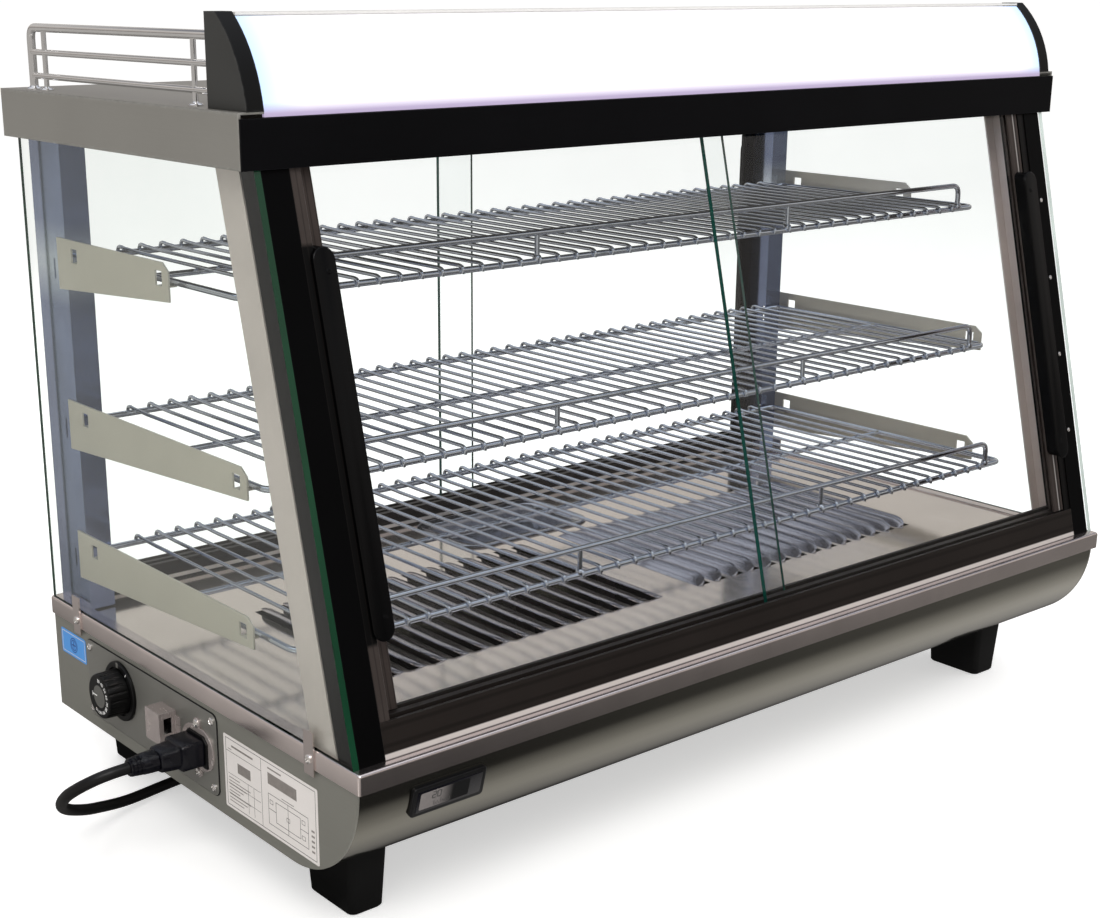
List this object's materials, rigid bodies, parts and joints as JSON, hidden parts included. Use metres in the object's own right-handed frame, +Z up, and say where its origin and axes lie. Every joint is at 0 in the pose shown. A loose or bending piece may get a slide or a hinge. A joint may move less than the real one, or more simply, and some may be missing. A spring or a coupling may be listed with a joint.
{
  "type": "countertop heated food display case",
  "caption": "Countertop heated food display case with a leaning glass front, sliding doors on both sides, wire shelves on brackets, a lit canopy and a heated louvred base.",
  "frame": {"origin": "on the counter, under the centre of the steel ledge; z = 0 is the underside of the feet", "axes": "+X to the right seen from the customer's side, +Y to the back (the server's side), +Z up; the sloping glass front faces -Y and the controls are on the -X end"},
  "size_m": [0.966, 0.599, 0.636],
  "materials": {
    "base_paint": "satin, dark olive grey",
    "trim_steel": "brushed stainless",
    "screw_steel": "bright pan heads",
    "deck_steel": "bright rolled stainless",
    "foot_rubber": "matte black",
    "heater_metal": "heat-darkened sheath",
    "white_plastic": "matte white",
    "copper": "drawn copper tube",
    "black_plastic": "semi-gloss black",
    "red_plastic": "translucent red rocker",
    "cord_rubber": "matte black jacket",
    "label_film": "printed film",
    "post_steel": "bright stainless",
    "clear_glass": "clear float glass, green at the edges",
    "black_aluminium": "satin black",
    "bronze_aluminium": "dark bronze anodised",
    "bracket_steel": "satin stainless",
    "shelf_chrome": "bright chrome wire",
    "canopy_steel": "satin stainless",
    "diffuser_acrylic": "opal white",
    "cover_paint": "white",
    "cap_plastic": "dark grey face, glossy black rim"
  },
  "bodies": {
    "case": {"base_shell": "base_paint", "base_end_left": "base_paint", "base_end_right": "base_paint", "trim_frame": "trim_steel", "heat_deck": "deck_steel", "feet": "foot_rubber", "heating_elements": "heater_metal", "thermostat_body": "white_plastic", "thermostat_bulb": "copper", "terminal_block": "white_plastic", "lamp_driver": "white_plastic", "control_plate": "base_paint", "dial_flange": "black_plastic", "switch_guard": "trim_steel", "switch_body": "black_plastic", "power_inlet": "black_plastic", "inlet_retainer": "trim_steel", "panel_screws": "screw_steel", "cord_connector": "black_plastic", "power_cord": "cord_rubber", "cord_coil": "cord_rubber", "mains_plug": "black_plastic", "thermometer": "black_plastic", "side_labels": "label_film", "rear_post_left": "post_steel", "rear_post_right": "post_steel", "front_post_left": "post_steel", "front_post_right": "post_steel", "side_glass_left": "clear_glass", "side_glass_right": "clear_glass", "glass_clips": "trim_steel", "front_stile_left": "black_aluminium", "front_stile_right": "black_aluminium", "front_jambs": "bronze_aluminium", "front_tracks": "bronze_aluminium", "rear_tracks": "black_aluminium", "shelf_brackets": "bracket_steel", "shelf_top": "shelf_chrome", "shelf_middle": "shelf_chrome", "shelf_bottom": "shelf_chrome", "canopy_tray": "canopy_steel", "canopy_fascia": "black_aluminium", "light_diffuser": "diffuser_acrylic", "light_box_cover": "cover_paint", "led_tube": "diffuser_acrylic", "canopy_end_caps": "cap_plastic", "gallery_rails": "shelf_chrome"},
    "front_left_door": {"front_door_left": "clear_glass", "front_edge_left": "bronze_aluminium", "front_handle_left": "black_plastic"},
    "front_right_door": {"front_door_right": "clear_glass", "front_edge_right": "bronze_aluminium", "front_handle_right": "black_plastic"},
    "rear_left_door": {"rear_door_left": "clear_glass", "rear_handle_left": "black_plastic"},
    "rear_right_door": {"rear_door_right": "clear_glass", "rear_handle_right": "black_plastic"},
    "knob": {"thermostat_knob": "black_plastic"},
    "rocker": {"power_switch": "red_plastic"},
    "water_pan": {"water_tray": "deck_steel"}
  },
  "joints": [
    {"name": "front_left_door_slide", "type": "slide", "parent": "case", "child": "front_left_door", "axis": [1, 0, 0], "range_m": [0, 0.34]},
    {"name": "front_right_door_slide", "type": "slide", "parent": "case", "child": "front_right_door", "axis": [1, 0, 0], "range_m": [-0.34, 0]},
    {"name": "rear_left_door_slide", "type": "slide", "parent": "case", "child": "rear_left_door", "axis": [1, 0, 0], "range_m": [0, 0.34]},
    {"name": "rear_right_door_slide", "type": "slide", "parent": "case", "child": "rear_right_door", "axis": [1, 0, 0], "range_m": [-0.34, 0]},
    {"name": "thermostat_turn", "type": "hinge", "parent": "case", "child": "knob", "pos_m": [-0.437, 0.109, 0.104], "axis": [-1, 0, 0], "range_deg": [-270, 0]},
    {"name": "rocker_tilt", "type": "hinge", "parent": "case", "child": "rocker", "pos_m": [-0.4267, 0.03, 0.104], "axis": [0, 1, 0], "range_deg": [-14, 0]},
    {"name": "water_pan_lift", "type": "slide", "parent": "case", "child": "water_pan", "axis": [0, 0, 1], "range_m": [0, 0.04]}
  ]
}
